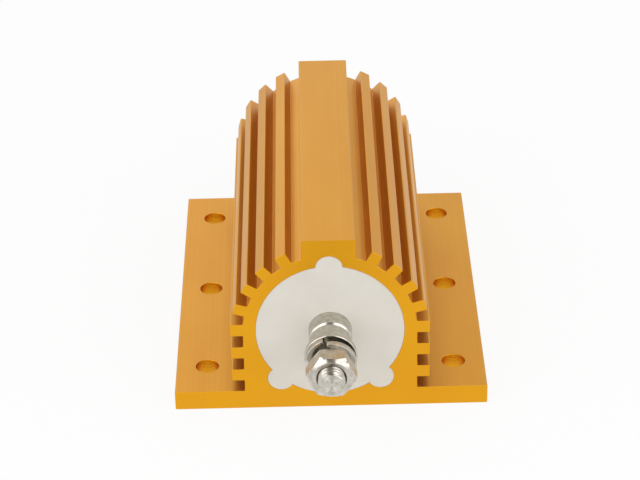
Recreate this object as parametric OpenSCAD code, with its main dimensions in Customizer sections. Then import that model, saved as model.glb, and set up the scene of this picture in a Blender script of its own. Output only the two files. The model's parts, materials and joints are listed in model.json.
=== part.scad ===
// Aluminium housed power resistor of the 200 W class. A finned extrusion with a mounting
// flange holds a wire-wound ceramic core, cast in filler, with an M6 screw terminal at
// each end.
//
// X runs across the flange, Y along the extrusion with the front terminal at -Y, Z up.
// The origin is the middle of the flange's underside.

/* [Extrusion] */
// Length of the extrusion
body_len = 91.5; // [84:0.5:140]
// Height from the underside to the top of the marking ridge
body_h = 44.2; // [43:0.1:48]
// Radius of the barrel at the roots of the radial fins
barrel_r = 19.8; // [19.4:0.1:21]
// Height of the bore's axis above the underside
bore_z = 20.6; // [20.2:0.1:21.4]
// Width of the marking ridge
ridge_w = 12.1; // [8:0.1:13]
// Width of the mounting flange
flange_w = 72; // [68:0.5:90]
// Thickness of the mounting flange
flange_t = 4.7; // [3:0.1:5.6]
// Radius on the outer edges of fins, ridge and flange
edge_r = 0.3; // [0.1:0.05:0.5]

/* [Bore] */
// Diameter of the bore that takes the element
bore_d = 33.8; // [31:0.1:34.6]
// Diameter of the three round keyways that lock the filler
keyway_d = 6.2; // [4:0.1:6.8]
// Distance of the upper keyway's centre from the bore's axis
top_keyway_r = 16.4; // [15.5:0.1:17.4]
// Distance of the two lower keyways' centres from the bore's axis
low_keyway_r = 17; // [16:0.1:17.4]
// Angle of the lower keyways below the horizontal
low_keyway_angle = 48; // [40:1:54]

/* [Level fins] */
// Number of level fins on each side
level_fins = 3; // [1:1:3]
// Thickness of the level fins
level_fin_t = 3; // [2:0.1:3.4]
// Height of the middle of the lowest level fin
level_fin_z = 9.1; // [8.4:0.1:9.6]
// Spacing of the level fins
level_fin_pitch = 6; // [5:0.1:6.2]
// Distance of the level fins' tips from the middle plane
level_fin_reach = 22.7; // [21.5:0.1:25]

/* [Radial fins] */
// Number of radial fins on each side
radial_fins = 4; // [1:1:4]
// Thickness of the radial fins
radial_fin_t = 2.7; // [2:0.1:3]
// Angle of the lowest radial fin above the horizontal
radial_fin_angle = 16.2; // [15:0.1:17]
// Angle from one radial fin to the next
radial_fin_step = 15; // [13:0.1:15.4]
// Distance of the radial fins' tips from the bore's axis
radial_fin_reach = 22.6; // [21.5:0.1:24]

/* [Mounting holes] */
// Diameter of the mounting holes
hole_d = 5.4; // [4:0.1:6]
// Spacing of the mounting holes across the flange
hole_span = 57.5; // [54:0.1:60]
// Spacing of the mounting holes along the flange
hole_pitch = 35; // [20:0.5:38]

/* [Element] */
// Diameter of the ceramic core
core_d = 24; // [18:0.5:26]
// Diameter of the hole through the ceramic core
core_bore_d = 10; // [4:0.5:14]
// Length of the ceramic core
core_len = 68; // [40:1:71]
// Diameter of the resistance wire
wire_d = 1; // [0.6:0.1:1.4]
// Spacing of the wire's turns
wire_pitch = 2.8; // [2.2:0.1:5]
// Wall of the end caps
cap_wall = 0.8; // [0.5:0.1:1.5]
// Thickness of the end caps' flat ends
cap_end_t = 1; // [0.6:0.1:2]
// How far the end caps reach over the core
cap_depth = 6; // [3:0.5:10]
// How far the filler's faces lie inside the extrusion's ends
filler_recess = 0.2; // [0:0.1:1]

/* [Terminal posts] */
// Diameter of the post's collar
collar_d = 9.8; // [8:0.1:12]
// Free length of the collar in front of the housing
collar_len = 4.7; // [2:0.1:10]
// Chamfer on the free edges of collar and spacer
collar_chamfer = 0.5; // [0.1:0.1:1]
// Diameter of the screw
screw_d = 6; // [5:0.1:6.2]
// Length of screw past the nut
screw_past_nut = 2.5; // [1:0.1:12]
// Chamfer on the screw's tip
screw_chamfer = 0.4; // [0.1:0.1:1]
// Diameter of the foot that is welded to the end cap
foot_d = 16; // [13:0.5:20]
// Thickness of the foot
foot_t = 1.5; // [1:0.1:3]
// Distance between the two flats that keep the foot from turning
foot_flats = 13; // [12:0.1:15]

/* [Terminal hardware] */
// Diameter of the spacer
spacer_d = 9.8; // [8:0.1:12]
// Length of the spacer
spacer_len = 5.1; // [2:0.1:10]
// Diameter of the flat washer
washer_d = 11.8; // [9:0.1:14]
// Thickness of the flat washer
washer_t = 1.6; // [0.8:0.1:2.4]
// Chamfer on the flat washer's rim
washer_chamfer = 0.15; // [0.05:0.05:0.3]
// Diameter of the spring washer
spring_d = 11.4; // [9:0.1:12]
// Thickness of the spring washer
spring_t = 1.5; // [1:0.1:2]
// How far the spring washer's ends stand apart along the screw
spring_rise = 1.9; // [0.5:0.1:2.4]
// Angle that the spring washer's slit takes out of the ring
spring_slit = 9; // [4:1:20]
// Where the spring washer's slit lies, anticlockwise from the right as seen from outside
spring_slit_at = 104; // [0:1:359]
// Width of the nut across its flats
nut_flats = 9.9; // [9:0.1:11]
// Height of the nut
nut_h = 5; // [3:0.1:6]
// Diameter of the flat ring on the nut's faces
nut_face_d = 8.6; // [8:0.1:8.9]
// Slope of the nut's chamfers
nut_chamfer_angle = 38; // [20:1:45]
// Width of the countersink at the ends of the nut's bore
nut_sink = 0.3; // [0.1:0.05:0.6]
// How far the nuts are turned from flats-up, clockwise as seen from outside
nut_turn = 4; // [0:1:60]

/* [Fits] */
// Gap round cast and pressed-on pieces
cast_gap = 0.1; // [0.05:0.01:0.2]
// Gap between the screw and the threaded pieces on it
thread_gap = 0.1; // [0.05:0.01:0.2]
// Gap between the screw and the washers on it
washer_gap = 0.25; // [0.1:0.05:0.5]
// Gap between faces that only press on each other
seat_gap = 0.02; // [0.01:0.01:0.1]

/* [Hidden] */

round_fn = 96;
edge_fn = 24;
wire_steps = 20; // steps in one turn of wire
wire_sides = 6;
ring_steps = 60; // steps round a spring washer
over = 1; // how far a cut reaches past the face that it opens
nut_margin = 0.5; // how far the nut's turned form stands outside its corners

// Sections of the element, from the core outwards
cap_inner_r = core_d / 2 + cast_gap;
cap_outer_r = cap_inner_r + cap_wall;
chord_factor = 1 / cos(180 / wire_steps);
wire_path_r = (core_d / 2 + cast_gap + wire_d / 2) * chord_factor;
wire_outer_r = wire_path_r + wire_d / 2;
cavity_r = max(cap_outer_r, wire_outer_r) + cast_gap;

// Stations along the bore, from the middle of the extrusion
cap_face_y = core_len / 2 + cap_end_t + seat_gap;
winding_len = core_len - 2 * (cap_depth + wire_d / 2 + seat_gap);
wire_turns = floor(winding_len / wire_pitch);

// Stations along a terminal, outwards from the extrusion's end face
foot_z = cap_face_y - body_len / 2 + seat_gap;
spacer_z = collar_len + seat_gap;
washer_z = spacer_z + spacer_len + seat_gap;
spring_z = washer_z + washer_t + seat_gap;
nut_z = spring_z + spring_rise + spring_t + seat_gap;
screw_end_z = nut_z + nut_h + screw_past_nut;

// Stands a terminal's pieces on the front end face, with their +Z pointing outwards
module at_front() translate([0, -body_len / 2, bore_z]) rotate([90, 0, 0]) children();

// The same for the rear end face
module at_rear() rotate([0, 0, 180]) at_front() children();

// Lays a piece that is drawn along Z, about its middle, into the bore
module in_bore() translate([0, 0, bore_z]) rotate([90, 0, 0]) children();

// Flat bar along +X with its two outer corners rounded
module bar(reach, thickness) {
    translate([0, -thickness / 2])
        square([reach - edge_r, thickness]);
    translate([0, -thickness / 2 + edge_r])
        square([reach, thickness - 2 * edge_r]);
    for (side = [-1, 1])
        translate([reach - edge_r, side * (thickness / 2 - edge_r)])
            circle(edge_r, $fn = edge_fn);
}

// Flange and fins of the right-hand half, each drawn from the middle of the section
module fins_and_flange() {
    translate([0, flange_t / 2])
        bar(flange_w / 2, flange_t);
    for (i = [0 : level_fins - 1])
        translate([0, level_fin_z + i * level_fin_pitch])
            bar(level_fin_reach, level_fin_t);
    for (i = [0 : radial_fins - 1])
        translate([0, bore_z])
            rotate(radial_fin_angle + i * radial_fin_step)
                bar(radial_fin_reach, radial_fin_t);
}

// Bore with its three keyways, let out by grow
module keyed_bore(grow = 0) {
    circle(bore_d / 2 + grow, $fn = round_fn);
    translate([0, top_keyway_r])
        circle(keyway_d / 2 + grow, $fn = round_fn);
    for (angle = [-low_keyway_angle, 180 + low_keyway_angle])
        rotate(angle)
            translate([low_keyway_r, 0])
                circle(keyway_d / 2 + grow, $fn = round_fn);
}

module extrusion_section() {
    difference() {
        union() {
            translate([0, bore_z])
                circle(barrel_r, $fn = round_fn);
            translate([-barrel_r, 0])
                square([2 * barrel_r, bore_z]);
            translate([0, bore_z])
                rotate(90)
                    bar(body_h - bore_z, ridge_w);
            fins_and_flange();
            mirror([1, 0])
                fins_and_flange();
        }
        translate([0, bore_z])
            keyed_bore();
    }
}

module housing() {
    color("goldenrod")
    difference() {
        translate([0, body_len / 2, 0])
            rotate([90, 0, 0])
                linear_extrude(body_len)
                    extrusion_section();
        for (x = [-hole_span / 2, hole_span / 2])
            for (y = [-hole_pitch, 0, hole_pitch])
                translate([x, y, -over])
                    cylinder(d = hole_d, h = flange_t + 2 * over, $fn = round_fn);
    }
}

// Room that the element takes up in the filler, with both posts
module element_room() {
    cylinder(r = cavity_r, h = 2 * (cap_face_y + cast_gap), center = true, $fn = round_fn);
    for (side = [0, 1])
        mirror([0, 0, side]) {
            translate([0, 0, cap_face_y])
                foot(foot_t + seat_gap + cast_gap, cast_gap);
            cylinder(d = collar_d + 2 * cast_gap, h = body_len, $fn = round_fn);
        }
}

module filler() {
    color("linen")
    in_bore()
        difference() {
            linear_extrude(body_len - 2 * filler_recess, center = true)
                keyed_bore(-cast_gap);
            element_room();
        }
}

module ceramic_core() {
    color("white")
    in_bore()
        difference() {
            cylinder(d = core_d, h = core_len, center = true, $fn = round_fn);
            cylinder(d = core_bore_d, h = core_len + 2 * over, center = true, $fn = round_fn);
        }
}

// Corner j of the wire's section after i steps of its helix
function wire_point(i, j) =
    let (
        turn = 360 * i / wire_steps,
        around = 360 * (j + 0.5) / wire_sides,
        r = wire_path_r + wire_d / 2 * cos(around)
    )
    [
        r * cos(turn),
        r * sin(turn),
        wire_pitch * (i / wire_steps - wire_turns / 2) + wire_d / 2 * sin(around)
    ];

module resistance_wire() {
    steps = wire_turns * wire_steps;
    last = steps * wire_sides;
    points = [
        for (i = [0 : steps])
            for (j = [0 : wire_sides - 1])
                wire_point(i, j)
    ];
    sides = [
        for (i = [0 : steps - 1])
            for (j = [0 : wire_sides - 1])
                let (
                    a = i * wire_sides + j,
                    b = i * wire_sides + (j + 1) % wire_sides
                )
                each [[a, a + wire_sides, b], [b, a + wire_sides, b + wire_sides]]
    ];
    first_end = [for (j = [0 : wire_sides - 1]) j];
    last_end = [for (j = [wire_sides - 1 : -1 : 0]) last + j];
    color("dimgray")
    in_bore()
        polyhedron(points, concat([first_end], sides, [last_end]));
}

// Drawn steel cup over the core's end, in the terminal's own stations
module end_cap() {
    color("gainsboro")
    translate([0, 0, cap_face_y - body_len / 2])
        mirror([0, 0, 1])
            difference() {
                cylinder(r = cap_outer_r, h = cap_end_t + seat_gap + cap_depth, $fn = round_fn);
                translate([0, 0, cap_end_t])
                    cylinder(r = cap_inner_r, h = cap_depth + over, $fn = round_fn);
            }
}

// Disc with two flats, let out by grow
module foot(height, grow = 0) {
    width = foot_flats + 2 * grow;
    intersection() {
        cylinder(r = foot_d / 2 + grow, h = height, $fn = round_fn);
        translate([-foot_d, -width / 2, 0])
            cube([2 * foot_d, width, height]);
    }
}

// Turned in one piece: foot, collar and screw
module terminal_post() {
    color("silver") {
        translate([0, 0, foot_z])
            foot(foot_t);
        rotate_extrude($fn = round_fn)
            polygon([
                [0, foot_z],
                [collar_d / 2, foot_z],
                [collar_d / 2, collar_len - collar_chamfer],
                [collar_d / 2 - collar_chamfer, collar_len],
                [screw_d / 2, collar_len],
                [screw_d / 2, screw_end_z - screw_chamfer],
                [screw_d / 2 - screw_chamfer, screw_end_z],
                [0, screw_end_z],
            ]);
    }
}

// Ring with chamfered outer edges
module chamfered_ring(outer_d, inner_d, height, chamfer) {
    rotate_extrude($fn = round_fn)
        polygon([
            [inner_d / 2, 0],
            [outer_d / 2 - chamfer, 0],
            [outer_d / 2, chamfer],
            [outer_d / 2, height - chamfer],
            [outer_d / 2 - chamfer, height],
            [inner_d / 2, height],
        ]);
}

module spacer() {
    color("silver")
    translate([0, 0, spacer_z])
        chamfered_ring(spacer_d, screw_d + 2 * thread_gap, spacer_len, collar_chamfer);
}

module flat_washer() {
    color("gainsboro")
    translate([0, 0, washer_z])
        chamfered_ring(washer_d, screw_d + 2 * washer_gap, washer_t, washer_chamfer);
}

// Split ring that climbs by spring_rise from its end on the flat washer to its end on the nut
module spring_washer() {
    inner_r = screw_d / 2 + washer_gap;
    section = [
        [inner_r, 0],
        [spring_d / 2, 0],
        [spring_d / 2, spring_t],
        [inner_r, spring_t],
    ];
    points = [
        for (i = [0 : ring_steps])
            let (
                swept = (360 - spring_slit) * (1 - i / ring_steps),
                angle = spring_slit_at - spring_slit / 2 - swept,
                lift = spring_rise * i / ring_steps
            )
            for (corner = section)
                [corner.x * cos(angle), corner.x * sin(angle), corner.y + lift]
    ];
    sides = [
        for (i = [0 : ring_steps - 1])
            for (j = [0 : 3])
                let (a = 4 * i + j, b = 4 * i + (j + 1) % 4)
                each [[a, a + 4, b], [b, a + 4, b + 4]]
    ];
    last = 4 * ring_steps;
    color("lightsteelblue")
    translate([0, 0, spring_z])
        polyhedron(points, concat([[0, 1, 2, 3]], sides, [[last + 3, last + 2, last + 1, last]]));
}

module nut() {
    corner_r = nut_flats / sqrt(3);
    reach = corner_r + nut_margin;
    drop = (reach - nut_face_d / 2) * tan(nut_chamfer_angle);
    bore_r = screw_d / 2 + thread_gap;
    color("silver")
    translate([0, 0, nut_z])
        intersection() {
            rotate(-nut_turn)
                cylinder(r = corner_r, h = nut_h, $fn = 6);
            rotate_extrude($fn = round_fn)
                polygon([
                    [bore_r + nut_sink, 0],
                    [nut_face_d / 2, 0],
                    [reach, drop],
                    [reach, nut_h - drop],
                    [nut_face_d / 2, nut_h],
                    [bore_r + nut_sink, nut_h],
                    [bore_r, nut_h - nut_sink],
                    [bore_r, nut_sink],
                ]);
        }
}

housing();
filler();
ceramic_core();
resistance_wire();
at_front() end_cap();  // front_end_cap
at_rear() end_cap();  // rear_end_cap
at_front() terminal_post();  // front_terminal_post
at_rear() terminal_post();  // rear_terminal_post
at_front() spacer();  // front_spacer
at_rear() spacer();  // rear_spacer
at_front() flat_washer();  // front_flat_washer
at_rear() flat_washer();  // rear_flat_washer
at_front() spring_washer();  // front_spring_washer
at_rear() spring_washer();  // rear_spring_washer
at_front() nut();  // front_nut
at_rear() nut();  // rear_nut
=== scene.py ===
"""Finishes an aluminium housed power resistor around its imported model.

The model's pieces keep their shapes and places. The screws get their threads here, the extruded
and turned pieces get their broken edges, and every piece gets the finish of its real material.
"""

import json
import math

import bmesh
import bpy
from bpy.props import FloatProperty, FloatVectorProperty, IntProperty, PointerProperty
from mathutils import Matrix, Vector, noise


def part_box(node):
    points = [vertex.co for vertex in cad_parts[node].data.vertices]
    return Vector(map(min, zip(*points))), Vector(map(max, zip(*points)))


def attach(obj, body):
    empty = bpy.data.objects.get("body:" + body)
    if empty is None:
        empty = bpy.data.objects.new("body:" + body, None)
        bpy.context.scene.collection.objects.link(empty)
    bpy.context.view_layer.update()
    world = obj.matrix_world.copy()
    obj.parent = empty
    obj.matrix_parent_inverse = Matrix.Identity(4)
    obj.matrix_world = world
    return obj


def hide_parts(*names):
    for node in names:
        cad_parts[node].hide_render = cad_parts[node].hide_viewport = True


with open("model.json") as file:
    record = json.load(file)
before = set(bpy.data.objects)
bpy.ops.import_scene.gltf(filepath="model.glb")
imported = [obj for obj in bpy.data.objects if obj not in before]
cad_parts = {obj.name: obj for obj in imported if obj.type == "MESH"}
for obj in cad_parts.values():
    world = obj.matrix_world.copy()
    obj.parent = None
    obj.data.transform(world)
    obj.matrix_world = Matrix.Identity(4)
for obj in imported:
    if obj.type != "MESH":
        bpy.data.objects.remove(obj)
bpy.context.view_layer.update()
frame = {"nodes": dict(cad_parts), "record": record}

bl_info = {
    "name": "Power resistor finishes",
    "version": (1, 0, 0),
    "blender": (4, 5, 0),
    "location": "View3D > Sidebar > Resistor",
    "description": "Threads, edges, materials and studio for an aluminium housed power resistor",
    "category": "Object",
}

MM = 0.001
ENDS = ("front", "rear")
SEAT_GAP = 0.02 * MM  # the model leaves this between faces that press on each other
MERGE = 0.002 * MM  # points closer than this are one point
SHARP = math.radians(25)  # edges of turned and cast pieces that turn by more are sharp
BROKEN = math.radians(28)  # edges of the model that turn by more are broken
FLAT = math.radians(0.6)  # faces that turn by less are one face


# ---------------------------------------------------------------- measures of the frame

def axis_height():
    """Height of the bore's axis, on which both terminals lie."""
    low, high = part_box("front_terminal_post")
    return (low.z + high.z) / 2


def end_station():
    """Distance from the middle of the extrusion to its end faces."""
    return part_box("housing")[1].y


def terminal_matrix(end):
    """Takes a terminal's own right, up and outward directions into the frame."""
    side = -1 if end == "front" else 1
    return Matrix((
        (-side, 0, 0, 0),
        (0, 0, side, side * end_station()),
        (0, 1, 0, axis_height()),
        (0, 0, 0, 1),
    ))


def outward_span(node):
    """How far a terminal's node starts and ends in front of the extrusion's end face."""
    low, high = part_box(node)
    near, far = sorted((abs(low.y), abs(high.y)))
    return near - end_station(), far - end_station()


def screw_tip():
    """How far the screw's tip lies in front of the extrusion's end face."""
    return outward_span("front_terminal_post")[1]


def radius_beyond(node, station):
    """Largest distance from the bore's axis that a terminal's node has past a station."""
    limit = end_station() + station
    return max(
        math.hypot(v.co.x, v.co.z - axis_height())
        for v in frame["nodes"][node].data.vertices
        if abs(v.co.y) > limit
    )


def hole_pattern():
    """Hole radius, spacing across and spacing along the flange, in millimetres.

    The corner holes and the middle holes are one grid of two by three.
    """
    dims = next(m["dims"] for m in frame["record"]["mounts"] if m["name"] == "corner_holes")
    return dims["hole_r_mm"], dims["spacing_x_mm"], dims["spacing_y_mm"] / 2


# ---------------------------------------------------------------- nodes

MIX_SHARE, MIX_FIRST, MIX_SECOND = 0, 6, 7  # a colour mix's sockets share their names


def linear(hex_colour):
    """Linear red, green, blue and alpha of an sRGB hex colour."""
    def channel(pair):
        value = int(pair, 16) / 255
        return value / 12.92 if value <= 0.04045 else ((value + 0.055) / 1.055) ** 2.4
    return (*(channel(hex_colour[i:i + 2]) for i in (0, 2, 4)), 1.0)


def add_node(tree, kind, inputs=(), **settings):
    """Adds a node with its settings, and fills its sockets with values or links.

    The inputs are named or in the sockets' order, and a node among them stands for its first
    output in use.
    """
    node = tree.nodes.new(kind)
    for name, value in settings.items():
        setattr(node, name, value)
    named = inputs.items() if isinstance(inputs, dict) else enumerate(inputs)
    for key, value in named:
        if isinstance(value, bpy.types.Node):
            value = next(socket for socket in value.outputs if socket.enabled)
        if isinstance(value, bpy.types.NodeSocket):
            tree.links.new(value, node.inputs[key])
        else:
            node.inputs[key].default_value = value
    return node


def start_material(name):
    """Empty node material, its tree, and a node that gives places in millimetres."""
    material = bpy.data.materials.new(name)
    material.use_nodes = True
    tree = material.node_tree
    tree.nodes.clear()
    places = add_node(tree, "ShaderNodeTexCoord").outputs["Object"]
    counted = add_node(
        tree, "ShaderNodeVectorMath", {0: places, "Scale": 1 / MM}, operation="SCALE"
    )
    return material, tree, counted


def distance_from_line(tree, across, up):
    """Distance from a line, from two values that count how far off it a point lies."""
    squares = add_node(tree, "ShaderNodeMath", (across, across), operation="MULTIPLY")
    both = add_node(tree, "ShaderNodeMath", (up, up, squares), operation="MULTIPLY_ADD")
    return add_node(tree, "ShaderNodeMath", (both,), operation="SQRT")


def ridges(tree, travel, spacing):
    """Even ridges from 0 to 1 along a value that counts millimetres."""
    turns = add_node(tree, "ShaderNodeMath", (travel, math.tau / spacing), operation="MULTIPLY")
    wave = add_node(tree, "ShaderNodeMath", (turns,), operation="SINE")
    return add_node(tree, "ShaderNodeMath", (wave, 0.5, 0.5), operation="MULTIPLY_ADD")


def surface_relief(tree, layers):
    """Bump from layers of a pattern from 0 to 1 and its height in millimetres."""
    total = 0.0
    for pattern, height in layers:
        total = add_node(
            tree, "ShaderNodeMath", (pattern, height, total), operation="MULTIPLY_ADD"
        )
    return add_node(tree, "ShaderNodeBump", {"Height": total, "Distance": MM, "Strength": 1.0})


# ---------------------------------------------------------------- materials

# in millimetres
BLADE_LEFT, BLADE_BELOW = 60.0, 165.0  # middle of the saw blade from the part's origin
BLADE_FEED = 0.7  # spacing of its arcs
DRILL_FEED = 0.4  # spacing of the drill's rings
DIE_LINE = 0.4  # width of the die's lines, drawn wider because the real ones are too fine
TURNED_FEED = 0.35  # spacing of the rings under the nickel


def gold_anodised_aluminium(colours):
    """Extruded aluminium, sawn and drilled, then etched and anodised with a gold dye.

    The dye lies in a clear oxide on the metal: a satin tinted metal under a thin glassy coat.
    The die leaves fine lines along the extrusion, and the dye takes a little unevenly. Sawn and
    drilled faces are painted a brighter, purer yellow, partly their own cut finish and partly
    painted light standing in for what the end faces and the hole walls catch, with the blade's
    arcs and the drill's rings in them.
    """
    material, tree, places = start_material("gold_anodised_aluminium")
    place = add_node(tree, "ShaderNodeSeparateXYZ", (places,)).outputs

    # sawn faces look along the extrusion
    facing = add_node(tree, "ShaderNodeTexCoord").outputs["Normal"]
    along = add_node(tree, "ShaderNodeSeparateXYZ", (facing,)).outputs["Y"]
    endways = add_node(tree, "ShaderNodeMath", (along,), operation="ABSOLUTE")
    hole_r, span, pitch = hole_pattern()
    sideways = add_node(tree, "ShaderNodeMath", (place["X"],), operation="ABSOLUTE")
    off_row = add_node(tree, "ShaderNodeMath", (sideways, span / 2), operation="SUBTRACT")
    off_hole = add_node(
        tree, "ShaderNodeMath", (place["Y"], -pitch / 2, pitch / 2), operation="WRAP"
    )
    from_hole = distance_from_line(tree, off_row, off_hole)
    # this mask also gives the hole walls the brighter sawn gold below, partly their drilled finish
    # and partly painted light inside the holes
    drilled = add_node(
        tree, "ShaderNodeMapRange",
        {"Value": from_hole, "From Min": hole_r + 0.03, "From Max": hole_r + 0.07,
         "To Min": 1.0, "To Max": 0.0},
    )
    undrilled = add_node(tree, "ShaderNodeMath", (1.0, drilled), operation="SUBTRACT")
    cut_square = add_node(
        tree, "ShaderNodeMapRange", {"Value": endways, "From Min": 0.6, "From Max": 0.8}
    )
    sawn = add_node(tree, "ShaderNodeMath", (cut_square, undrilled), operation="MULTIPLY")
    cut = add_node(tree, "ShaderNodeMath", (sawn, drilled), operation="MAXIMUM")
    as_extruded = add_node(tree, "ShaderNodeMath", (1.0, cut), operation="SUBTRACT")

    # uneven dye, in clouds some 20 mm wide and drawn out along the extrusion
    drawn_out = add_node(
        tree, "ShaderNodeVectorMath", (places, (1 / 16, 1 / 45, 1 / 16)), operation="MULTIPLY"
    )
    cloud = add_node(tree, "ShaderNodeTexNoise", {"Vector": drawn_out, "Scale": 1.0, "Detail": 3})
    dye = add_node(
        tree, "ShaderNodeMapRange", {"Value": cloud, "From Min": 0.35, "From Max": 0.65}
    )

    # die lines, drawn out along the extrusion
    along_die = add_node(
        tree, "ShaderNodeVectorMath", (places, (1 / DIE_LINE, 1 / 120, 1 / DIE_LINE)),
        operation="MULTIPLY",
    )
    lines = add_node(tree, "ShaderNodeTexNoise", {"Vector": along_die, "Scale": 1.0, "Detail": 3})

    # arcs of a 350 mm blade that stood below and to the left, and rings of the drill
    off_blade_x = add_node(tree, "ShaderNodeMath", (place["X"], BLADE_LEFT), operation="ADD")
    off_blade_z = add_node(tree, "ShaderNodeMath", (place["Z"], BLADE_BELOW), operation="ADD")
    from_blade = distance_from_line(tree, off_blade_x, off_blade_z)
    sway = add_node(tree, "ShaderNodeTexNoise", {"Vector": places, "Scale": 1 / 9, "Detail": 2})
    swayed = add_node(tree, "ShaderNodeMath", (sway, 2.0, from_blade), operation="MULTIPLY_ADD")
    feed = ridges(tree, swayed, BLADE_FEED)
    arcs = add_node(tree, "ShaderNodeMath", (feed, sawn), operation="MULTIPLY")
    rings = ridges(tree, place["Z"], DRILL_FEED)
    drill = add_node(tree, "ShaderNodeMath", (rings, drilled), operation="MULTIPLY")
    drawn = add_node(tree, "ShaderNodeMath", (lines, as_extruded), operation="MULTIPLY")

    # the etch leaves a matt grain everywhere, drawn 0.2 mm coarse because it is finer than that
    etched = add_node(
        tree, "ShaderNodeTexNoise", {"Vector": places, "Scale": 1 / 0.2, "Detail": 2}
    )

    extruded = add_node(
        tree, "ShaderNodeMix",
        {MIX_SHARE: dye, MIX_FIRST: (*colours.extruded_gold, 1),
         MIX_SECOND: (*colours.extruded_gold_deep, 1)},
        data_type="RGBA",
    )
    # sawn and drilled faces: a brighter, more saturated gold than the extruded faces, partly their
    # own cut finish and partly painted light that the end faces and the hole walls catch
    opened_gold_with_painted_light = add_node(
        tree, "ShaderNodeMix",
        {MIX_SHARE: dye, MIX_FIRST: (*colours.sawn_gold_with_painted_light, 1),
         MIX_SECOND: (*colours.sawn_deep_gold_with_painted_light, 1)},
        data_type="RGBA",
    )
    gold = add_node(
        tree, "ShaderNodeMix",
        {MIX_SHARE: cut, MIX_FIRST: extruded, MIX_SECOND: opened_gold_with_painted_light}, data_type="RGBA",
    )
    satin = add_node(
        tree, "ShaderNodeMapRange",
        {"Value": lines, "From Min": 0.3, "From Max": 0.7, "To Min": 0.38, "To Max": 0.46},
    )
    roughness = add_node(tree, "ShaderNodeMath", (drilled, -0.12, satin), operation="MULTIPLY_ADD")
    shader = add_node(
        tree, "ShaderNodeBsdfPrincipled",
        {
            "Base Color": gold,
            "Metallic": 1.0,
            "Roughness": roughness,
            "Normal": surface_relief(
                tree, ((drawn, 0.012), (arcs, 0.006), (drill, 0.02), (etched, 0.004))
            ),
            "Coat Weight": 0.28,
            "Coat Roughness": 0.35,
            "Coat IOR": 1.6,
        },
    )
    add_node(tree, "ShaderNodeOutputMaterial", {"Surface": shader})
    return material


def cast_filler(colours):
    """Silicone-bound cement poured into the bore and struck off smooth at the ends.

    Matt and chalky, off-white with a warm cast, with faint clouds and a few pinholes.
    """
    material, tree, places = start_material("cast_filler")
    cloud = add_node(tree, "ShaderNodeTexNoise", {"Vector": places, "Scale": 1 / 7, "Detail": 4})
    settled = add_node(
        tree, "ShaderNodeMapRange", {"Value": cloud, "From Min": 0.3, "From Max": 0.7}
    )
    grit = add_node(tree, "ShaderNodeTexNoise", {"Vector": places, "Scale": 1 / 0.35, "Detail": 3})

    # pinholes 0.3 mm wide, where bubbles broke the skin, darkened towards grey as painted shade
    # inside them
    bubbles = add_node(tree, "ShaderNodeTexVoronoi", {"Vector": places, "Scale": 1 / 3.4})
    skin = add_node(
        tree, "ShaderNodeMapRange",
        {"Value": bubbles.outputs["Distance"], "From Min": 0.02, "From Max": 0.05},
    )
    shade = add_node(
        tree, "ShaderNodeMapRange", {"Value": skin, "To Min": 0.3, "To Max": 0.0}
    )
    smooth = add_node(
        tree, "ShaderNodeMix",
        {MIX_SHARE: settled, MIX_FIRST: (*colours.filler, 1),
         MIX_SECOND: (*colours.filler_cloud, 1)},
        data_type="RGBA",
    )
    # painted shade: the pinholes are mixed towards a dark grey
    cement = add_node(
        tree, "ShaderNodeMix",
        {MIX_SHARE: shade, MIX_FIRST: smooth, MIX_SECOND: linear("8A8378")}, data_type="RGBA",
    )
    matt = add_node(
        tree, "ShaderNodeMapRange",
        {"Value": grit, "From Min": 0.3, "From Max": 0.7, "To Min": 0.55, "To Max": 0.7},
    )
    shader = add_node(
        tree, "ShaderNodeBsdfPrincipled",
        {
            "Base Color": cement,
            "Roughness": matt,
            "Normal": surface_relief(tree, ((grit, 0.012), (skin, 0.06))),
            "IOR": 1.45,
        },
    )
    add_node(tree, "ShaderNodeOutputMaterial", {"Surface": shader})
    return material


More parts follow.
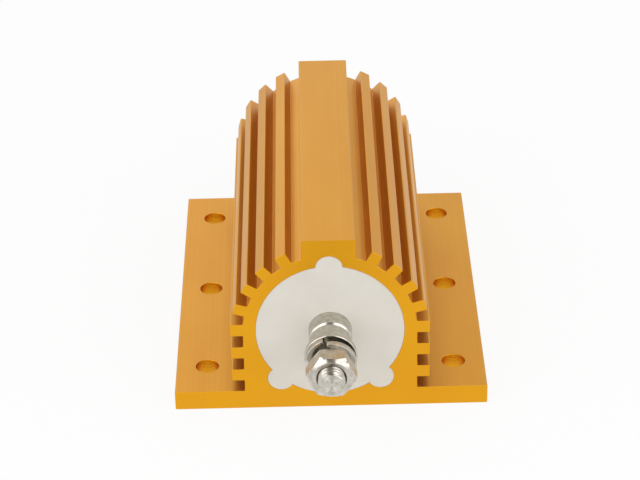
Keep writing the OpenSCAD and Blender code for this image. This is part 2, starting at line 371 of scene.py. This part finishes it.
def nickel_plated_steel(colours):
    """Turned or stamped mild steel with a bright nickel plate.

    A slightly warm mirror, softened by the tool's rings under the plate and by a faint haze.
    """
    material, tree, places = start_material("nickel_plated_steel")
    place = add_node(tree, "ShaderNodeSeparateXYZ", (places,)).outputs
    above = add_node(
        tree, "ShaderNodeMath", (place["Z"], axis_height() / MM), operation="SUBTRACT"
    )
    from_axis = distance_from_line(tree, place["X"], above)

    # the tool's rings run round the axis, spaced outwards on the faces and along the sides
    slant = add_node(
        tree, "ShaderNodeMath", (place["Y"], 1.7, from_axis), operation="MULTIPLY_ADD"
    )
    chatter = add_node(tree, "ShaderNodeTexNoise", {"Vector": places, "Scale": 1 / 3, "Detail": 2})
    travel = add_node(tree, "ShaderNodeMath", (chatter, 0.5, slant), operation="MULTIPLY_ADD")
    rings = ridges(tree, travel, TURNED_FEED)

    # the screw's tip is faced off coarsely
    outward = add_node(tree, "ShaderNodeMath", (place["Y"],), operation="ABSOLUTE")
    tip = add_node(
        tree, "ShaderNodeMath", (outward, (end_station() + screw_tip()) / MM - 0.02),
        operation="GREATER_THAN",
    )
    faced = add_node(tree, "ShaderNodeMath", (rings, tip), operation="MULTIPLY")
    haze = add_node(tree, "ShaderNodeTexNoise", {"Vector": places, "Scale": 1 / 1.2, "Detail": 4})
    dulled = add_node(
        tree, "ShaderNodeMapRange", {"Value": haze, "From Min": 0.35, "From Max": 0.7}
    )
    plate = add_node(
        tree, "ShaderNodeMix",
        {MIX_SHARE: dulled, MIX_FIRST: (*colours.nickel, 1),
         MIX_SECOND: (*colours.nickel_dull, 1)},
        data_type="RGBA",
    )
    gloss = add_node(
        tree, "ShaderNodeMapRange",
        {"Value": haze, "From Min": 0.3, "From Max": 0.7, "To Min": 0.15, "To Max": 0.26},
    )
    shader = add_node(
        tree, "ShaderNodeBsdfPrincipled",
        {
            "Base Color": plate,
            "Metallic": 1.0,
            "Roughness": gloss,
            "Normal": surface_relief(tree, ((rings, 0.004), (faced, 0.06), (haze, 0.006))),
        },
    )
    add_node(tree, "ShaderNodeOutputMaterial", {"Surface": shader})
    return material


def unglazed_steatite():
    """Pressed and fired steatite tube: a dry, fine-grained white ceramic without a glaze."""
    material, tree, places = start_material("unglazed_steatite")
    grain = add_node(tree, "ShaderNodeTexNoise", {"Vector": places, "Scale": 1 / 0.3, "Detail": 3})
    body = add_node(
        tree, "ShaderNodeMix",
        {MIX_SHARE: grain, MIX_FIRST: linear("EDE9E0"), MIX_SECOND: linear("DCD6C9")},
        data_type="RGBA",
    )
    dry = add_node(
        tree, "ShaderNodeMapRange",
        {"Value": grain, "From Min": 0.3, "From Max": 0.7, "To Min": 0.6, "To Max": 0.75},
    )
    shader = add_node(
        tree, "ShaderNodeBsdfPrincipled",
        {
            "Base Color": body,
            "Roughness": dry,
            "Normal": surface_relief(tree, ((grain, 0.02),)),
            "IOR": 1.6,
        },
    )
    add_node(tree, "ShaderNodeOutputMaterial", {"Surface": shader})
    return material


def oxidised_nickel_chrome():
    """Annealed nickel-chrome resistance wire: a dull brown-grey metal under its oxide."""
    material, tree, places = start_material("oxidised_nickel_chrome")
    stain = add_node(tree, "ShaderNodeTexNoise", {"Vector": places, "Scale": 1 / 2, "Detail": 4})
    oxide = add_node(
        tree, "ShaderNodeMix",
        {MIX_SHARE: stain, MIX_FIRST: linear("6E655C"), MIX_SECOND: linear("4F4842")},
        data_type="RGBA",
    )
    dull = add_node(
        tree, "ShaderNodeMapRange",
        {"Value": stain, "From Min": 0.3, "From Max": 0.7, "To Min": 0.4, "To Max": 0.55},
    )
    shader = add_node(
        tree, "ShaderNodeBsdfPrincipled",
        {
            "Base Color": oxide,
            "Metallic": 1.0,
            "Roughness": dull,
            "Normal": surface_relief(tree, ((stain, 0.01),)),
        },
    )
    add_node(tree, "ShaderNodeOutputMaterial", {"Surface": shader})
    return material


def drawn_steel():
    """Deep-drawn steel cup: satin grey, with streaks along the direction of the draw."""
    material, tree, places = start_material("drawn_steel")
    along_draw = add_node(
        tree, "ShaderNodeVectorMath", (places, (1 / 0.3, 1 / 12, 1 / 0.3)), operation="MULTIPLY"
    )
    streaks = add_node(
        tree, "ShaderNodeTexNoise", {"Vector": along_draw, "Scale": 1.0, "Detail": 3}
    )
    steel = add_node(
        tree, "ShaderNodeMix",
        {MIX_SHARE: streaks, MIX_FIRST: linear("C6C5C1"), MIX_SECOND: linear("A9A8A4")},
        data_type="RGBA",
    )
    satin = add_node(
        tree, "ShaderNodeMapRange",
        {"Value": streaks, "From Min": 0.3, "From Max": 0.7, "To Min": 0.28, "To Max": 0.42},
    )
    shader = add_node(
        tree, "ShaderNodeBsdfPrincipled",
        {
            "Base Color": steel,
            "Metallic": 1.0,
            "Roughness": satin,
            "Normal": surface_relief(tree, ((streaks, 0.006),)),
        },
    )
    add_node(tree, "ShaderNodeOutputMaterial", {"Surface": shader})
    return material


# ---------------------------------------------------------------- meshes

def add_piece(name, mesh, material, replaced):
    """Adds a finished piece that rides on the part and stands for one of the model's nodes."""
    piece = bpy.data.objects.new(name, mesh)
    bpy.context.scene.collection.objects.link(piece)
    mesh.materials.clear()
    mesh.materials.append(material)
    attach(piece, "root")
    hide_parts(replaced)
    return piece


def plain_mesh(source):
    """Takes the evaluated object's result as a mesh of its own and removes the object."""
    graph = bpy.context.evaluated_depsgraph_get()
    mesh = bpy.data.meshes.new_from_object(source.evaluated_get(graph))
    bpy.data.objects.remove(source)
    return mesh


def broken_edges(node, width):
    """Copy of a node's mesh with every sharp edge broken to a small round."""
    copied = bmesh.new()
    copied.from_mesh(frame["nodes"][node].data)
    bmesh.ops.remove_doubles(copied, verts=copied.verts, dist=MERGE)
    bmesh.ops.dissolve_limit(copied, angle_limit=FLAT, verts=copied.verts, edges=copied.edges)
    mesh = bpy.data.meshes.new(node + "_edges")
    copied.to_mesh(mesh)
    copied.free()
    mesh.shade_smooth()
    holder = bpy.data.objects.new(mesh.name, mesh)
    bpy.context.scene.collection.objects.link(holder)
    edge = holder.modifiers.new("edges", "BEVEL")
    edge.width = width
    edge.segments = 2
    edge.limit_method = "ANGLE"
    edge.angle_limit = BROKEN
    holder.modifiers.new("level", "WEIGHTED_NORMAL").weight = 100
    return plain_mesh(holder)


def cast_mesh(sizes):
    """Filler whose end faces have a thin uneven lip, creeping up the bore and the collars."""
    cast = bmesh.new()
    cast.from_mesh(frame["nodes"]["filler"].data)
    bmesh.ops.remove_doubles(cast, verts=cast.verts, dist=MERGE)
    low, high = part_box("filler")
    for station, outward in ((low.y, -1), (high.y, 1)):
        end = [f for f in cast.faces if all(abs(v.co.y - station) < MERGE for v in f.verts)]
        bmesh.ops.inset_region(cast, faces=end, thickness=sizes.cement_lip, use_even_offset=True)
        moves = {}
        for vert in cast.verts:
            walls = [f.normal for f in vert.link_faces if abs(f.normal.y) < 0.5]
            if walls and abs(vert.co.y - station) < MERGE:
                to_wall = sum(walls, Vector()).normalized() * sizes.cement_reach
                swell = 1 + 0.4 * noise.noise(vert.co / (3 * MM))
                moves[vert] = to_wall + Vector((0, outward * swell * sizes.cement_creep, 0))
        for vert, move in moves.items():
            vert.co += move
    mesh = bpy.data.meshes.new("cast_cement")
    cast.to_mesh(mesh)
    cast.free()
    mesh.shade_smooth()
    mesh.set_sharp_from_angle(angle=SHARP)
    return mesh


def ring_of_points(mesh, steps, station, radius):
    """Ring of points round a terminal's axis, whose radius may be a function of the angle."""
    found = []
    for i in range(steps):
        angle = math.tau * i / steps
        r = radius(angle) if callable(radius) else radius
        found.append(mesh.verts.new((r * math.cos(angle), r * math.sin(angle), station)))
    return found


def shank_mesh(sizes, post, start):
    """Foot and collar of a post, open where the thread starts."""
    foot_start = outward_span(post)[0]
    foot_end = foot_start + sizes.foot_thickness
    foot_radius = radius_beyond(post, foot_start - MM)
    low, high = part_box(post)
    flat = (high.z - low.z) / 2
    collar = radius_beyond(post, 0)

    def foot(angle):
        """Round foot with two flats, one above and one below."""
        return min(foot_radius, flat / max(abs(math.sin(angle)), 0.01))

    mesh = bmesh.new()
    steps = sizes.thread_steps
    rings = [
        ring_of_points(mesh, steps, foot_start, foot),
        ring_of_points(mesh, steps, foot_end, foot),
        ring_of_points(mesh, steps, foot_end, collar),
        ring_of_points(mesh, steps, start - sizes.collar_chamfer, collar),
        ring_of_points(mesh, steps, start, collar - sizes.collar_chamfer),
        ring_of_points(mesh, steps, start, radius_beyond(post, start + MM)),
    ]
    for lower, upper in zip(rings, rings[1:]):
        for i in range(steps):
            j = (i + 1) % steps
            mesh.faces.new((lower[i], lower[j], upper[j], upper[i]))
    mesh.faces.new(reversed(rings[0]))
    made = bpy.data.meshes.new(post + "_shank")
    mesh.to_mesh(made)
    mesh.free()
    return made


# ---------------------------------------------------------------- thread tree

THREAD_INPUTS = (
    ("Major radius", "NodeSocketFloat"),
    ("Pitch", "NodeSocketFloat"),
    ("Depth", "NodeSocketFloat"),
    ("Start", "NodeSocketFloat"),
    ("End", "NodeSocketFloat"),
    ("Tip chamfer", "NodeSocketFloat"),
    ("Steps around", "NodeSocketInt"),
    ("Rows", "NodeSocketInt"),
    ("Material", "NodeSocketMaterial"),
)
ROWS_PER_TURN = 16
CREST_SHARE = 1 / 8  # flat part of a metric thread's crest, as a share of the pitch
ROOT_SHARE = 1 / 4  # flat part of its root


def thread_tree():
    """Node tree that adds a metric thread to a shank.

    It rolls a grid into a tube whose rows climb one pitch a turn, so that each row follows one
    line of the thread.
    """
    tree = bpy.data.node_groups.new("metric_thread", "GeometryNodeTree")
    sockets = tree.interface
    sockets.new_socket("Geometry", in_out="INPUT", socket_type="NodeSocketGeometry")
    for name, kind in THREAD_INPUTS:
        sockets.new_socket(name, in_out="INPUT", socket_type=kind)
    sockets.new_socket("Geometry", in_out="OUTPUT", socket_type="NodeSocketGeometry")
    given = add_node(tree, "NodeGroupInput").outputs

    # a flat grid, a metre by a metre, whose columns go round and whose rows go along
    columns = add_node(tree, "ShaderNodeMath", (given["Steps around"], 1), operation="ADD")
    grid = add_node(
        tree, "GeometryNodeMeshGrid",
        {"Size X": 1.0, "Size Y": 1.0, "Vertices X": columns, "Vertices Y": given["Rows"]},
    )
    position = add_node(tree, "GeometryNodeInputPosition")
    flat = add_node(tree, "ShaderNodeSeparateXYZ", (position,)).outputs
    turn = add_node(tree, "ShaderNodeMath", (flat["X"], 0.5), operation="ADD")
    share = add_node(tree, "ShaderNodeMath", (flat["Y"], 0.5), operation="ADD")
    last_row = add_node(tree, "ShaderNodeMath", (given["Rows"], 1), operation="SUBTRACT")
    row = add_node(tree, "ShaderNodeMath", (share, last_row), operation="MULTIPLY")

    # how far out each point lies: its row, and one pitch a turn, held between start and end
    climbed = add_node(
        tree, "ShaderNodeMath", (row, 1 / ROWS_PER_TURN, turn), operation="MULTIPLY_ADD"
    )
    pitches = add_node(tree, "ShaderNodeMath", (climbed, 1), operation="SUBTRACT")
    free = add_node(
        tree, "ShaderNodeMath", (pitches, given["Pitch"], given["Start"]),
        operation="MULTIPLY_ADD",
    )
    started = add_node(tree, "ShaderNodeMath", (free, given["Start"]), operation="MAXIMUM")
    station = add_node(tree, "ShaderNodeMath", (started, given["End"]), operation="MINIMUM")

    # depth of the groove there, which fades in over the first pitch
    along = add_node(tree, "ShaderNodeMath", (station, given["Start"]), operation="SUBTRACT")
    travelled = add_node(tree, "ShaderNodeMath", (along, given["Pitch"]), operation="DIVIDE")
    unwound = add_node(tree, "ShaderNodeMath", (travelled, turn), operation="SUBTRACT")
    phase = add_node(tree, "ShaderNodeMath", (unwound,), operation="FRACT")
    doubled = add_node(tree, "ShaderNodeMath", (phase, 2, -1), operation="MULTIPLY_ADD")
    from_root = add_node(tree, "ShaderNodeMath", (doubled,), operation="ABSOLUTE")
    groove = add_node(
        tree, "ShaderNodeMapRange",
        {"Value": from_root, "From Min": CREST_SHARE, "From Max": 1 - ROOT_SHARE},
    )
    run_out = add_node(tree, "ShaderNodeMapRange", {"Value": travelled})
    share_cut = add_node(tree, "ShaderNodeMath", (groove, run_out), operation="MULTIPLY")
    cut = add_node(tree, "ShaderNodeMath", (share_cut, given["Depth"]), operation="MULTIPLY")
    threaded = add_node(
        tree, "ShaderNodeMath", (given["Major radius"], cut), operation="SUBTRACT"
    )

    # the tip's chamfer, and the last row drawn together to its middle
    tip = add_node(
        tree, "ShaderNodeMath", (given["Major radius"], given["Tip chamfer"]),
        operation="SUBTRACT",
    )
    to_end = add_node(tree, "ShaderNodeMath", (given["End"], station), operation="SUBTRACT")
    cone = add_node(tree, "ShaderNodeMath", (tip, to_end), operation="ADD")
    side = add_node(tree, "ShaderNodeMath", (threaded, cone), operation="MINIMUM")
    before_last = add_node(tree, "ShaderNodeMath", (last_row, 0.5), operation="SUBTRACT")
    on_side = add_node(tree, "ShaderNodeMath", (row, before_last), operation="LESS_THAN")
    radius = add_node(tree, "ShaderNodeMath", (side, on_side), operation="MULTIPLY")

    angle = add_node(tree, "ShaderNodeMath", (turn, math.tau), operation="MULTIPLY")
    cosine = add_node(tree, "ShaderNodeMath", (angle,), operation="COSINE")
    sine = add_node(tree, "ShaderNodeMath", (angle,), operation="SINE")
    right = add_node(tree, "ShaderNodeMath", (radius, cosine), operation="MULTIPLY")
    up = add_node(tree, "ShaderNodeMath", (radius, sine), operation="MULTIPLY")
    rolled = add_node(tree, "ShaderNodeCombineXYZ", (right, up, station))
    tube = add_node(tree, "GeometryNodeSetPosition", {"Geometry": grid, "Position": rolled})

    joined = add_node(tree, "GeometryNodeJoinGeometry", (tube,))
    tree.links.new(given["Geometry"], joined.inputs["Geometry"])
    merged = add_node(
        tree, "GeometryNodeMergeByDistance", {"Geometry": joined, "Distance": MERGE}
    )
    realized = add_node(tree, "GeometryNodeRealizeInstances", (merged,))
    finished = add_node(
        tree, "GeometryNodeSetMaterial", {"Geometry": realized, "Material": given["Material"]}
    )
    add_node(tree, "NodeGroupOutput", (finished,))
    return tree


def threaded_post_mesh(sizes, tree, end, material):
    """One post in the frame, with its foot, collar and threaded screw in one closed skin."""
    post = end + "_terminal_post"
    start = outward_span(end + "_spacer")[0] - SEAT_GAP
    tip = outward_span(post)[1]
    turns = (tip - start) / sizes.thread_pitch + 1
    values = {
        "Major radius": radius_beyond(post, start + MM),
        "Pitch": sizes.thread_pitch,
        "Depth": sizes.thread_depth,
        "Start": start,
        "End": tip,
        "Tip chamfer": sizes.tip_chamfer,
        "Steps around": sizes.thread_steps,
        "Rows": math.ceil(turns * ROWS_PER_TURN) + 2,
        "Material": material,
    }
    holder = bpy.data.objects.new(post, shank_mesh(sizes, post, start))
    bpy.context.scene.collection.objects.link(holder)
    modifier = holder.modifiers.new("thread", "NODES")
    modifier.node_group = tree
    for socket in tree.interface.items_tree:
        if socket.in_out == "INPUT" and socket.name in values:
            modifier[socket.identifier] = values[socket.name]
    mesh = plain_mesh(holder)
    mesh.transform(terminal_matrix(end))
    mesh.shade_smooth()
    mesh.set_sharp_from_angle(angle=SHARP)
    return mesh


# ---------------------------------------------------------------- settings

def length(name, description, default):
    """Length property in metres."""
    return FloatProperty(
        name=name, description=description, default=default, min=0, precision=5,
        subtype="DISTANCE", unit="LENGTH",
    )


def colour(name, description, hex_colour):
    """Colour property from an sRGB hex value."""
    return FloatVectorProperty(
        name=name, description=description, default=linear(hex_colour)[:3], min=0, max=1,
        size=3, subtype="COLOR",
    )


def power(name, description, watts):
    """Power property in watts."""
    return FloatProperty(name=name, description=description, default=watts, min=0, unit="POWER")


def angle(name, description, degrees):
    """Angle property from a value in degrees."""
    return FloatProperty(
        name=name, description=description, default=math.radians(degrees), subtype="ANGLE",
        unit="ROTATION",
    )


class ResistorSizes(bpy.types.PropertyGroup):
    """Sizes of the details that the model leaves to this script."""

    extrusion_edge: length("Extrusion edges", "Round on the sawn and drilled edges", 0.1 * MM)
    nut_edge: length("Nut edges", "Round on the nuts' edges", 0.16 * MM)
    washer_edge: length("Washer edges", "Round on washers and spacers", 0.1 * MM)
    thread_pitch: length("Thread pitch", "Pitch of the M6 coarse thread", 1.0 * MM)
    thread_depth: length("Thread depth", "Depth of the M6 thread on the screw", 0.61 * MM)
    tip_chamfer: length("Tip chamfer", "Chamfer on the screw's tip", 0.4 * MM)
    collar_chamfer: length("Collar chamfer", "Chamfer on the collar's free edge", 0.5 * MM)
    foot_thickness: length("Foot thickness", "Thickness of the post's hidden foot", 1.5 * MM)
    thread_steps: IntProperty(
        name="Thread steps", description="Points in one turn of thread", default=64, min=12
    )
    cement_lip: length("Cement lip", "Width of the filler's lip at the walls", 0.5 * MM)
    cement_creep: length("Cement creep", "How far the lip creeps up the walls", 0.13 * MM)
    cement_reach: length("Cement reach", "How far the lip reaches to the walls", 0.075 * MM)


class ResistorColours(bpy.types.PropertyGroup):
    """Colours of the finishes."""

    extruded_gold: colour("Extruded gold", "Dye on the extruded faces", "CF921C")
    extruded_gold_deep: colour("Deep extruded gold", "The same where it took more dye", "CA8B17")
    # the sawn colours are brighter than the extruded ones, partly painted light on the end faces
    # and in the holes
    sawn_gold_with_painted_light: colour("Sawn gold", "Dye on the sawn ends", "E5A300")
    sawn_deep_gold_with_painted_light: colour("Deep sawn gold", "The same where it took more dye", "E19E00")
    filler: colour("Filler", "Cast filler", "DAD6CC")
    filler_cloud: colour("Filler cloud", "Clouds in the filler", "D4CFC5")
    nickel: colour("Nickel", "Bright nickel plate", "CFCBC2")
    nickel_dull: colour("Dull nickel", "Plate that has dulled a little", "B6B1A6")


class ResistorStudio(bpy.types.PropertyGroup):
    """Camera, lamps and floor."""

    lens: FloatProperty(
        name="Lens", description="Focal length", default=131.73, min=1, unit="CAMERA"
    )
    camera_place: FloatVectorProperty(
        name="Camera place", description="Where the camera stands",
        default=(-0.003262, -0.494249, 0.305305), subtype="TRANSLATION", unit="LENGTH",
    )
    camera_turn: FloatVectorProperty(
        name="Camera turn", description="Turn to the left, tilt down and roll of the camera",
        default=(-0.00318, 0.52686, -0.02166), subtype="EULER", unit="ROTATION",
    )
    left_power: power("Left softbox", "Power of the softbox on the left", 3.6)
    right_power: power("Right softbox", "Power of the softbox on the right", 3.3)
    back_power: power("Back softbox", "Power of the small softbox behind on the left", 0.42)
    lamp_side: length("Lamp size", "Side of the two front softboxes", 1.0)
    back_side: length("Back lamp size", "Side of the softbox behind", 0.5)
    lamp_distance: length("Lamp distance", "From the part to the softboxes", 0.95)
    front_azimuth: angle("Front azimuth", "How far round the front softboxes stand", 46)
    back_azimuth: angle("Back azimuth", "How far round the back softbox stands", 160)
    lamp_rise: angle("Lamp rise", "How high above the part the softboxes stand", 33)
    sky: FloatProperty(
        name="Sky", description="Strength of the even light from all round", default=0.66, min=0
    )
    floor_radius: length("Floor radius", "Radius of the round floor", 6.0)
    floor_lift: FloatProperty(
        name="Floor lift", description="Share of plain white in the floor as it is seen",
        default=0.88, min=0, max=1,
    )
    card_radius: length("Card radius", "From the front washers to the arched card", 35 * MM)
    card_width: length("Card width", "Width of the arched card at its foot", 12.5 * MM)
    card_top_width: length("Card top width", "Width of the card at its top", 20 * MM)


# ---------------------------------------------------------------- operators

CARD_FOOT, CARD_TOP = 10, 82  # degrees that the dark card's ends rise above the level
CARD_STEPS = 16


class RESISTOR_OT_studio(bpy.types.Operator):
    """Set up the camera, the softboxes, the even light, the white floor and the dark card"""

    bl_idname = "resistor.studio"
    bl_label = "Set up studio"

    def execute(self, context):
        studio = context.scene.resistor_studio
        self.add_camera(context, studio)
        self.add_lamps(context, studio)
        self.add_sky(context, studio)
        self.add_floor(context, studio)
        self.add_card(context, studio)
        context.scene.view_settings.view_transform = "Standard"
        return {"FINISHED"}

    def add_camera(self, context, studio):
        lens = bpy.data.cameras.new("camera")
        lens.lens = studio.lens
        lens.sensor_width = 36
        lens.clip_start = 0.01
        camera = bpy.data.objects.new("camera", lens)
        turn, tilt, roll = studio.camera_turn
        camera.matrix_world = (
            Matrix.Translation(studio.camera_place)
            @ Matrix.Rotation(turn, 4, "Z")
            @ Matrix.Rotation(math.pi / 2 - tilt, 4, "X")
            @ Matrix.Rotation(roll, 4, "Z")
        )
        context.scene.collection.objects.link(camera)
        context.scene.camera = camera

    def add_lamps(self, context, studio):
        """Softboxes on both sides of the front, and a weak one behind on the left."""
        middle = Vector((0, 0, axis_height()))
        places = {
            "softbox_left": (-studio.front_azimuth, studio.lamp_side, studio.left_power),
            "softbox_right": (studio.front_azimuth, studio.lamp_side, studio.right_power),
            "softbox_back": (-studio.back_azimuth, studio.back_side, studio.back_power),
        }
        level = math.cos(studio.lamp_rise)
        for name, (azimuth, side, watts) in places.items():
            lamp = bpy.data.lights.new(name, "AREA")
            lamp.energy = watts
            lamp.size = side
            towards = Vector((
                math.sin(azimuth) * level,
                -math.cos(azimuth) * level,
                math.sin(studio.lamp_rise),
            ))
            box = bpy.data.objects.new(name, lamp)
            box.location = middle + towards * studio.lamp_distance
            box.rotation_euler = towards.to_track_quat("Z", "Y").to_euler()
            context.scene.collection.objects.link(box)

    def seen_or_mirrored(self, tree):
        """1 for rays from the camera, from a mirror or through glass, and 0 for the others."""
        ray = add_node(tree, "ShaderNodeLightPath").outputs
        seen = add_node(
            tree, "ShaderNodeMath", (ray["Is Camera Ray"], ray["Is Glossy Ray"]),
            operation="MAXIMUM",
        )
        return add_node(
            tree, "ShaderNodeMath", (seen, ray["Is Transmission Ray"]), operation="MAXIMUM"
        )

    def add_sky(self, context, studio):
        """White as it is seen and mirrored, and dimmer as it lights matt surfaces."""
        world = bpy.data.worlds.new("even_light")
        world.use_nodes = True
        tree = world.node_tree
        tree.nodes.clear()
        strength = add_node(
            tree, "ShaderNodeMapRange",
            {"Value": self.seen_or_mirrored(tree), "To Min": studio.sky, "To Max": 1.0},
        )
        light = add_node(
            tree, "ShaderNodeBackground", {"Color": (1, 1, 1, 1), "Strength": strength}
        )
        add_node(tree, "ShaderNodeOutputWorld", {"Surface": light})
        context.scene.world = world

    def add_floor(self, context, studio):
        """Round white floor that keeps the part's shadow, and is seen as nearly plain white."""
        disc = bmesh.new()
        bmesh.ops.create_circle(disc, cap_ends=True, segments=96, radius=studio.floor_radius)
        mesh = bpy.data.meshes.new("floor")
        disc.to_mesh(mesh)
        disc.free()
        material = bpy.data.materials.new("white_table")
        material.use_nodes = True
        tree = material.node_tree
        tree.nodes.clear()
        matt = add_node(tree, "ShaderNodeBsdfDiffuse", {"Color": linear("F4F4F4")})
        white = add_node(tree, "ShaderNodeEmission", {"Color": (1, 1, 1, 1), "Strength": 1.0})
        lift = add_node(
            tree, "ShaderNodeMath", (self.seen_or_mirrored(tree), studio.floor_lift),
            operation="MULTIPLY",
        )
        table = add_node(tree, "ShaderNodeMixShader", (lift, matt, white))
        add_node(tree, "ShaderNodeOutputMaterial", {"Surface": table})
        mesh.materials.append(material)
        floor = bpy.data.objects.new("floor", mesh)
        context.scene.collection.objects.link(floor)

    def add_card(self, context, studio):
        """Small arched dark card over the front terminal, which only mirroring surfaces show."""
        card = bmesh.new()
        washer_start = end_station() + outward_span("front_spring_washer")[0]
        washers = Vector((0, -washer_start, axis_height()))
        rows = []
        for i in range(CARD_STEPS + 1):
            share = i / CARD_STEPS
            rise = math.radians(CARD_FOOT + (CARD_TOP - CARD_FOOT) * share)
            middle = washers + Vector((0, -math.cos(rise), math.sin(rise))) * studio.card_radius
            width = studio.card_width + (studio.card_top_width - studio.card_width) * share
            rows.append([
                card.verts.new(middle + Vector((side * width / 2, 0, 0))) for side in (-1, 1)
            ])
        for lower, upper in zip(rows, rows[1:]):
            card.faces.new((lower[0], lower[1], upper[1], upper[0]))
        mesh = bpy.data.meshes.new("dark_card")
        card.to_mesh(mesh)
        card.free()
        material = bpy.data.materials.new("dark_felt")
        material.use_nodes = True
        tree = material.node_tree
        tree.nodes.clear()
        felt = add_node(tree, "ShaderNodeBsdfDiffuse", {"Color": linear("8E8A82")})
        add_node(tree, "ShaderNodeOutputMaterial", {"Surface": felt})
        mesh.materials.append(material)
        arch = bpy.data.objects.new("dark_card", mesh)
        arch.visible_camera = False
        arch.visible_diffuse = False
        arch.visible_shadow = False
        context.scene.collection.objects.link(arch)


class RESISTOR_OT_extrusion(bpy.types.Operator):
    """Finish the finned extrusion with broken edges and gold anodising"""

    bl_idname = "resistor.extrusion"
    bl_label = "Finish extrusion"

    def execute(self, context):
        sizes = context.scene.resistor_sizes
        add_piece(
            "finned_extrusion",
            broken_edges("housing", sizes.extrusion_edge),
            gold_anodised_aluminium(context.scene.resistor_colours),
            "housing",
        )
        return {"FINISHED"}


class RESISTOR_OT_element(bpy.types.Operator):
    """Finish the cast filler and the wound element inside it"""

    bl_idname = "resistor.element"
    bl_label = "Finish element"

    def execute(self, context):
        add_piece(
            "cast_cement",
            cast_mesh(context.scene.resistor_sizes),
            cast_filler(context.scene.resistor_colours),
            "filler",
        )
        caps = drawn_steel()
        finishes = {
            "ceramic_core": unglazed_steatite(),
            "resistance_wire": oxidised_nickel_chrome(),
            "front_end_cap": caps,
            "rear_end_cap": caps,
        }
        for node, material in finishes.items():
            slots = frame["nodes"][node].data.materials
            slots.clear()
            slots.append(material)
        return {"FINISHED"}


class RESISTOR_OT_terminals(bpy.types.Operator):
    """Thread the posts and finish the spacers, washers and nuts"""

    bl_idname = "resistor.terminals"
    bl_label = "Finish terminals"

    def execute(self, context):
        sizes = context.scene.resistor_sizes
        plate = nickel_plated_steel(context.scene.resistor_colours)
        tree = thread_tree()
        edges = {
            "spacer": sizes.washer_edge,
            "flat_washer": sizes.washer_edge,
            "spring_washer": sizes.washer_edge,
            "nut": sizes.nut_edge,
        }
        for end in ENDS:
            add_piece(
                end + "_threaded_post",
                threaded_post_mesh(sizes, tree, end, plate),
                plate,
                end + "_terminal_post",
            )
            for kind, width in edges.items():
                node = f"{end}_{kind}"
                add_piece(
                    f"{end}_plated_{kind}", broken_edges(node, width), plate, node
                )
        return {"FINISHED"}


class RESISTOR_PT_steps(bpy.types.Panel):
    """Lists the steps in their order"""

    bl_idname = "RESISTOR_PT_steps"
    bl_label = "Power resistor"
    bl_space_type = "VIEW_3D"
    bl_region_type = "UI"
    bl_category = "Resistor"

    def draw(self, context):
        for operator in OPERATORS:
            self.layout.operator(operator.bl_idname)
        for settings in GROUPS:
            group = getattr(context.scene, settings)
            column = self.layout.column()
            for name in group.__annotations__:
                column.prop(group, name)


GROUPS = {
    "resistor_sizes": ResistorSizes,
    "resistor_colours": ResistorColours,
    "resistor_studio": ResistorStudio,
}
OPERATORS = (
    RESISTOR_OT_studio,
    RESISTOR_OT_extrusion,
    RESISTOR_OT_element,
    RESISTOR_OT_terminals,
)


def register():
    for name, group in GROUPS.items():
        bpy.utils.register_class(group)
        setattr(bpy.types.Scene, name, PointerProperty(type=group))
    for operator in OPERATORS:
        bpy.utils.register_class(operator)
    bpy.utils.register_class(RESISTOR_PT_steps)


def unregister():
    bpy.utils.unregister_class(RESISTOR_PT_steps)
    for operator in reversed(OPERATORS):
        bpy.utils.unregister_class(operator)
    for name, group in reversed(GROUPS.items()):
        delattr(bpy.types.Scene, name)
        bpy.utils.unregister_class(group)


def main():
    register()
    bpy.ops.resistor.studio()
    bpy.ops.resistor.extrusion()
    bpy.ops.resistor.element()
    bpy.ops.resistor.terminals()


if __name__ == "__main__":
    main()
